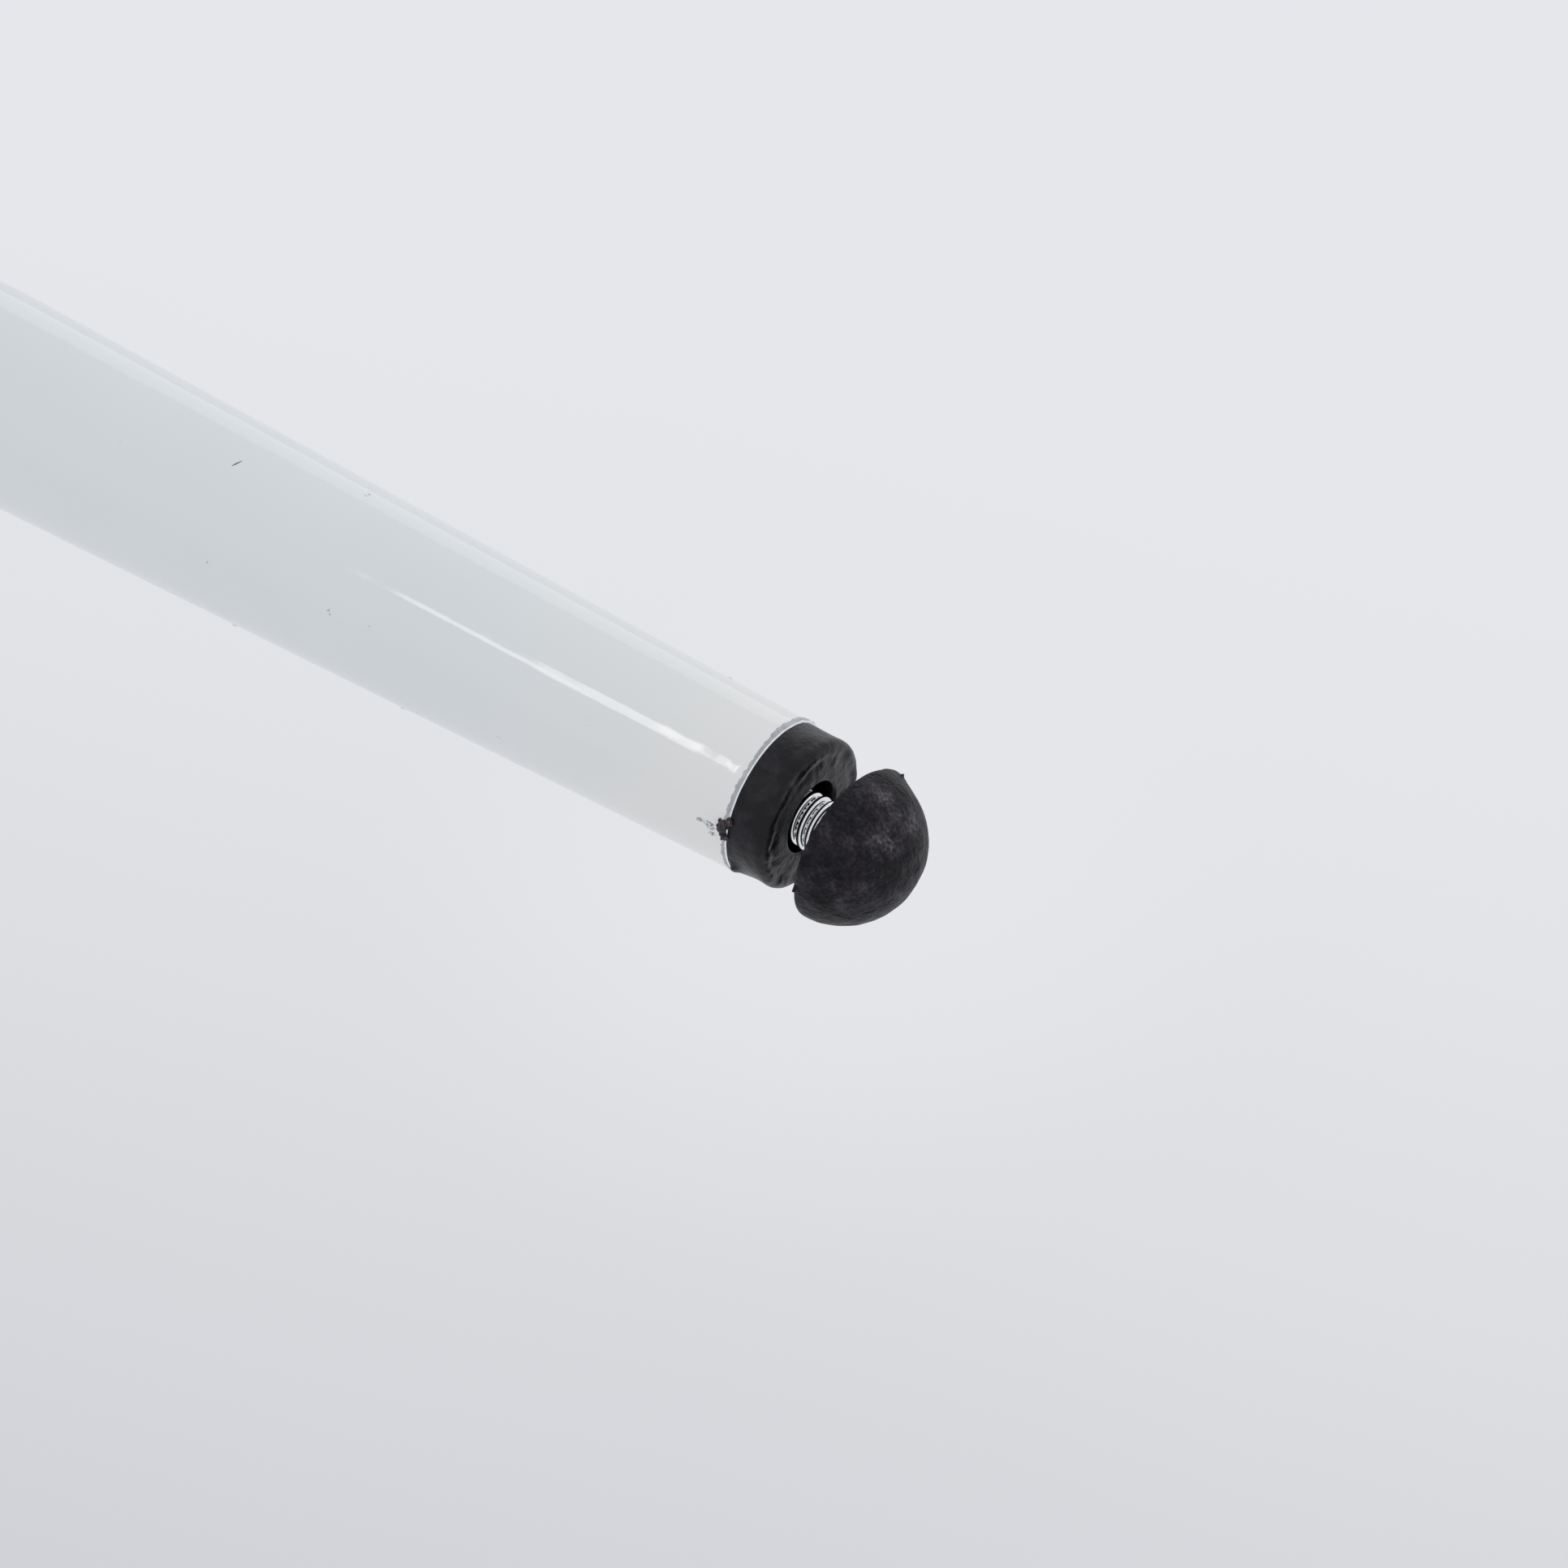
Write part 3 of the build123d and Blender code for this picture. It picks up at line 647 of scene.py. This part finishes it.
def makeCollar(name, node, body):
    low, high, radius = spanOf(node)
    tube = radius - collar["wall"]
    lipBore = tube - collar["tubeStep"] + collar["running"]
    corners = [(high, lipBore, 0.25), (high, radius, collar["edge"])]
    for number in range(collar["grooves"]):
        start = high - collar["lip"] - 2 * collar["grooveWidth"] * (number + 1)
        end, deep = start - collar["grooveWidth"], radius - collar["grooveDepth"]
        corners += [(start, radius, 0.15), (start, deep, 0.15), (end, deep, 0.15), (end, radius, 0.15)]
    lipStart = high - collar["lip"]
    corners += [(low, radius, collar["edge"]), (low, tube), (lipStart, tube), (lipStart, lipBore)]
    piece = turnPiece(name, finer(rounded(corners), 1), collar["segments"], [absPlastic], collarSeam)
    settle(piece, onShaft, body, "collar_plastic", node)


collarRadius = spanOf("middle_guide_collar")[2]
makeCollar("middleCollar", "middle_guide_collar", "middle_section")
collarRadius = spanOf("upper_guide_collar")[2]
makeCollar("upperCollar", "upper_guide_collar", "handle")
print("tubes and collars made")


band = {"thickness": 0.15, "lapAt": 300, "lapHeight": 0.1, "lapHalfWidth": 14, "lapSlope": 2.5}
low, high, radius = spanOf("reflective_band")


def bandLap(x, r, angle):
    # the tape's end lies over its start
    away = (math.degrees(angle) - band["lapAt"] + 180) % 360 - 180
    over = min(1, max(0, (band["lapHalfWidth"] - abs(away)) / band["lapSlope"]))
    return x, r + band["lapHeight"] * over * (r > radius - 0.1)


bore = radius - band["thickness"]
outline = finer(rounded([(high, bore), (high, radius, 0.06), (low, radius, 0.06), (low, bore)], 3), 5)
reflectiveBand = turnPiece("reflectiveBand", outline, 240, [tape], bandLap)
settle(reflectiveBand, onShaft, "handle", "reflective_tape", "reflective_band")


grip = {"bottomRadius": 12.0, "topRadius": 14.0, "bore": 9.0, "flat": 11.4, "grooves": 9, "spacing": 18.0,
        "grooveWidth": 2.0, "grooveDepth": 0.5, "flatRound": 0.6}
ferrule = {"bottomRadius": 10.0, "radius": 11.2, "rim": 2.0, "bore": 9.0}
cap = {"thickness": 10.0, "edge": 3.5, "spigotRadius": 8.2, "spigotBore": 5.0, "eyeletRoom": 3.0}
eyelet = {"bore": 2.5, "wall": 0.5, "flange": 4.6, "flangeThickness": 0.8}


def flatUnder(x, radius, angle):
    # the flat runs along the underside, with its edges rounded over
    down = -math.sin(angle)
    if down <= 0.05 or radius < grip["flat"] - 1.5:
        return x, radius
    return x, squeezed(radius, grip["flat"] / down, grip["flatRound"])


gripLow, gripHigh, _ = spanOf("grip")


def gripRadius(x):
    share = (gripHigh - x) / (gripHigh - gripLow)
    return grip["bottomRadius"] + (grip["topRadius"] - grip["bottomRadius"]) * share


corners = [(gripHigh, grip["bore"]), (gripHigh, gripRadius(gripHigh), 0.5)]
for number in range(grip["grooves"]):
    start = gripHigh - grip["spacing"] * (number + 1)
    end = start - grip["grooveWidth"]
    corners += [(start, gripRadius(start), 0.4), (start, gripRadius(start) - grip["grooveDepth"], 0.15),
                (end, gripRadius(start) - grip["grooveDepth"], 0.15), (end, gripRadius(end), 0.4)]
corners += [(gripLow, gripRadius(gripLow), 0.4), (gripLow, grip["bore"])]
rubberGrip = turnPiece("rubberGrip", finer(rounded(corners), 4), 240, [gripRubber], flatUnder)
settle(rubberGrip, onShaft, "handle", "grip_rubber", "grip")

low, high, _ = spanOf("grip_ferrule")
outline = finer(rounded([
    (high, ferrule["bore"]), (high, ferrule["bottomRadius"], 0.4),
    (low + ferrule["rim"], ferrule["radius"], 1.5), (low, ferrule["radius"], 0.3),
    (low, ferrule["bore"])]), 1)
gripFerrule = turnPiece("gripFerrule", outline, 192, [absPlastic])
settle(gripFerrule, onShaft, "handle", "collar_plastic", "grip_ferrule")

low, high, radius = spanOf("grip_cap")
under = low + cap["thickness"]
outline = finer(rounded([
    (under, cap["spigotRadius"]), (under, radius, 0.4), (low, radius, cap["edge"]),
    (low, cap["eyeletRoom"]), (under, cap["eyeletRoom"]), (under, cap["spigotBore"]),
    (high, cap["spigotBore"], 0.3), (high, cap["spigotRadius"], 0.5)], 10), 1)
gripCap = turnPiece("gripCap", outline, 240, [absPlastic], flatUnder)
settle(gripCap, onShaft, "handle", "cap_plastic", "grip_cap")

low, high, _ = spanOf("cord_eyelet")
outer, under = eyelet["bore"] + eyelet["wall"], low + eyelet["flangeThickness"]
outline = finer(rounded([
    (high, eyelet["bore"], 0.1), (high, outer, 0.1), (under, outer), (under, eyelet["flange"], 0.15),
    (low, eyelet["flange"], 0.45), (low, eyelet["bore"], 0.7)], 8), 0.4)
cordEyelet = turnPiece("cordEyelet", outline, 144, [nickel])
settle(cordEyelet, onShaft, "handle", "eyelet_steel", "cord_eyelet")
print("grip end made")


for name, node in nodes.items():
    if not node.hide_render:
        for holder in node.material_slots:
            holder.material = zinc if name.endswith(("nut", "screw")) else inner
print("lock pieces finished")


# right and up: millimetres from the tube's end to the spot that the camera looks at
view = {"azimuth": 36, "elevation": 45.6, "lens": 300, "sensor": 36, "distance": 0.8633,
        "right": 0.59, "up": 0.94}
azimuth, elevation = math.radians(view["azimuth"]), math.radians(view["elevation"])
back = Vector((math.sin(azimuth) * math.cos(elevation), -math.cos(azimuth) * math.cos(elevation),
               math.sin(elevation)))
right = Vector((math.cos(azimuth), math.sin(azimuth), 0))
target = tubeEnd + (right * view["right"] + back.cross(right) * view["up"]) * mm
lens = bpy.data.cameras.new("camera")
lens.lens = view["lens"]
lens.sensor_width = view["sensor"]
lens.clip_start = 0.01
lens.clip_end = 200
camera = bpy.data.objects.new("camera", lens)
facing = (-back).to_track_quat("-Z", "Y")
camera.matrix_world = Matrix.LocRotScale(target + back * view["distance"], facing, None)
bpy.context.scene.collection.objects.link(camera)
bpy.context.scene.camera = camera


# metres. The table's glow is painted darker from fadeFrom to fadeTo, measured from the middle of the view
# towards the near side: painted shade. A painted pool of light makes it brighter again in a spot there
studio = {"floorSize": 40, "floorGap": 0.00002, "glow": 0.97, "world": "#E3E5E9", "worldStrength": 0.935,
          "fadeFrom": -0.035, "fadeTo": 0.085, "fadeTurn": 0.35,
          "spotRight": 0.0018, "spotNear": 0.012, "spotReach": 0.034, "spotGain": 0.3}
# each lamp: direction it stands in from the tube's end, distance, length along the shaft, height, brightness
lamps = {"rearPanel": ((-0.386, 0.84, 0.19), 0.4, 0.36, 0.2, 0.5),
         "rightLamp": ((0.961, 0.055, 0.268), 1.2, 0.3, 0.3, 5),
         "rearLamp": ((0.33, 0.687, 0.652), 0.5, 0.09, 0.09, 0.5)}
# small lamps that draw the thin line along the nose. Each part: millimetres up from the tube's end, the
# lamp's length and width in metres, and the line's angle round the tube
thinLine = {"away": 0.26, "brightness": 3.8}
noseSlope = 0.022
lineParts = [(2.6, 0.007, 0.048, 121.5), (10.3, 0.0168, 0.05, 122.8), (22.8, 0.0154, 0.02, 123.8)]


def tableTop():
    # Opal acrylic light table: bright and even, with painted shade a little darker towards the near side and
    # a painted pool of light in one spot
    material = bpy.data.materials.new("opal acrylic, back lit")
    material.use_nodes = True
    tree = material.node_tree
    tree.nodes.remove(tree.nodes["Principled BSDF"])
    place = addNode(tree, "NewGeometry").outputs["Position"]
    middle = target - back * target.z / back.z
    toViewer = Vector((math.sin(azimuth), -math.cos(azimuth), 0))
    near = (toViewer - right * studio["fadeTurn"]).normalized()
    distance = addNode(tree, "VectorMath", {0: place, 1: near}, operation="DOT_PRODUCT").outputs["Value"]
    share = addNode(tree, "MapRange", {"Value": distance, "From Min": middle.dot(near) + studio["fadeFrom"],
                                       "From Max": middle.dot(near) + studio["fadeTo"]})
    cloud = addNode(tree, "TexNoise", {"Vector": place, "Scale": 14, "Detail": 2})
    uneven = addNode(tree, "Math", {0: cloud, 1: 0.06, 2: -0.03}, operation="MULTIPLY_ADD")
    share = addNode(tree, "Math", {0: share, 1: uneven}, operation="ADD")
    # painted pool of light: the table is brighter in a spot near the cane
    spot = middle + right * studio["spotRight"] + toViewer * studio["spotNear"]
    fromSpot = addNode(tree, "VectorMath", {0: place, 1: spot}, operation="DISTANCE").outputs["Value"]
    glow = addNode(tree, "MapRange", {"Value": fromSpot, "From Max": studio["spotReach"],
                                      "To Min": studio["spotGain"], "To Max": 0},
                   interpolation_type="SMOOTHSTEP")
    share = addNode(tree, "Math", {0: share, 1: glow}, operation="SUBTRACT")
    shade = addNode(tree, "ValToRGB", {"Fac": share}, [
        (0.0, "#E7E8EC"), (0.3, "#E3E4E8"), (0.5, "#DFE0E4"), (0.7, "#D9DADE"), (0.9, "#D3D4D9"),
        (1.0, "#D0D1D6")])
    glowing = addNode(tree, "Emission", {"Color": shade.outputs["Color"], "Strength": 1})
    matt = addNode(tree, "BsdfDiffuse", {"Color": linear("#E4E6EA")})
    both = addNode(tree, "MixShader", {0: studio["glow"], 1: matt, 2: glowing})
    tree.links.new(both.outputs["Shader"], tree.nodes["Material Output"].inputs["Surface"])
    return material


half = studio["floorSize"] / 2
floorMesh = bpy.data.meshes.new("tableTop")
corners = [(-half, -half, 0), (half, -half, 0), (half, half, 0), (-half, half, 0)]
floorMesh.from_pydata(corners, [], [(0, 1, 2, 3)])
floorMesh.materials.append(tableTop())
floor = bpy.data.objects.new("tableTop", floorMesh)
floor.location.z = -studio["floorGap"]
bpy.context.scene.collection.objects.link(floor)

world = bpy.data.worlds.new("studio")
world.use_nodes = True
world.node_tree.nodes["Background"].inputs["Color"].default_value = linear(studio["world"])
world.node_tree.nodes["Background"].inputs["Strength"].default_value = studio["worldStrength"]
bpy.context.scene.world = world


def addLamp(name, place, aim, sizeX, sizeY, brightness):
    light = bpy.data.lights.new(name, "AREA")
    light.shape = "RECTANGLE"
    light.size, light.size_y = sizeX, sizeY
    light.energy = brightness * math.pi * sizeX * sizeY
    lamp = bpy.data.objects.new(name, light)
    toward = (aim - place).normalized()
    across = (Vector((1, 0, 0)) - toward * toward.x).normalized()  # its length runs along the shaft
    turned = Matrix((across, (-toward).cross(across), -toward)).transposed()
    lamp.matrix_world = Matrix.LocRotScale(place, turned.to_quaternion(), None)
    lamp.visible_camera = False
    bpy.context.scene.collection.objects.link(lamp)


for name, (direction, away, sizeX, sizeY, brightness) in lamps.items():
    addLamp(name, tubeEnd + Vector(direction).normalized() * away, tubeEnd, sizeX, sizeY, brightness)
for number, (up, length, width, at) in enumerate(lineParts):
    # the nose gets thinner, so its surface looks a little towards the tip
    normal = Vector((noseSlope, math.cos(math.radians(at)), math.sin(math.radians(at)))).normalized()
    shine = tubeEnd + Vector((-up, noseRadius(-up) * normal.y, noseRadius(-up) * normal.z)) * mm
    toCamera = (camera.matrix_world.translation - shine).normalized()
    bounce = normal * 2 * normal.dot(toCamera) - toCamera
    place = shine + bounce * thinLine["away"]
    addLamp(f"lineLamp{number}", place, shine, length, width, thinLine["brightness"])

scene = bpy.context.scene
scene.view_settings.view_transform = "Standard"
scene.view_settings.look = "None"
scene.view_settings.exposure = 0
scene.view_settings.gamma = 1
print("studio made")
